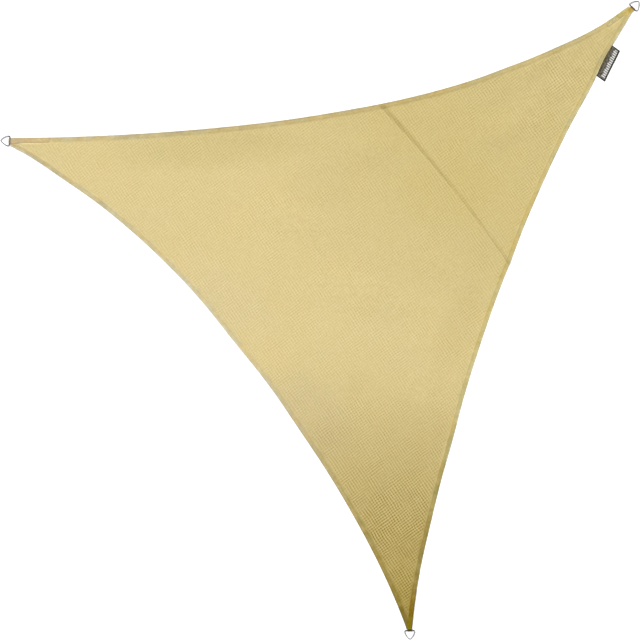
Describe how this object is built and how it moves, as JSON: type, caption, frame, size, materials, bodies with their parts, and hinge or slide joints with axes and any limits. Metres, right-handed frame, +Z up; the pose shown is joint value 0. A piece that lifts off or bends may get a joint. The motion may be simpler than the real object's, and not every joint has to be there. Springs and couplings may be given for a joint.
{
  "type": "shade sail",
  "caption": "Triangular shade sail of sand-coloured knitted cloth with concave hemmed edges, a lapped seam, corner webbing, steel corner rings and a plain edge tab, lying flat.",
  "frame": {"origin": "middle of the whole outline in plan, on the surface that the sail lies on", "axes": "+Z up; X along the side between the two lower corners A and C, A at -X and C at +X; +Y towards corner B"},
  "size_m": [3.5831, 3.2307, 0.0096],
  "materials": {
    "cloth": "open warp-knitted shade cloth in sand yellow, dull with a faint sheen",
    "webbing": "flat woven webbing in tan",
    "ring_steel": "round steel wire, bent and welded, lightly polished",
    "tab": "close black woven tape"
  },
  "bodies": {
    "root": {"cloth_main": "cloth", "cloth_corner": "cloth", "webbing_a": "webbing", "webbing_b": "webbing", "webbing_c": "webbing", "ring_a": "ring_steel", "ring_b": "ring_steel", "ring_c": "ring_steel", "woven_tab": "tab"}
  },
  "joints": []
}
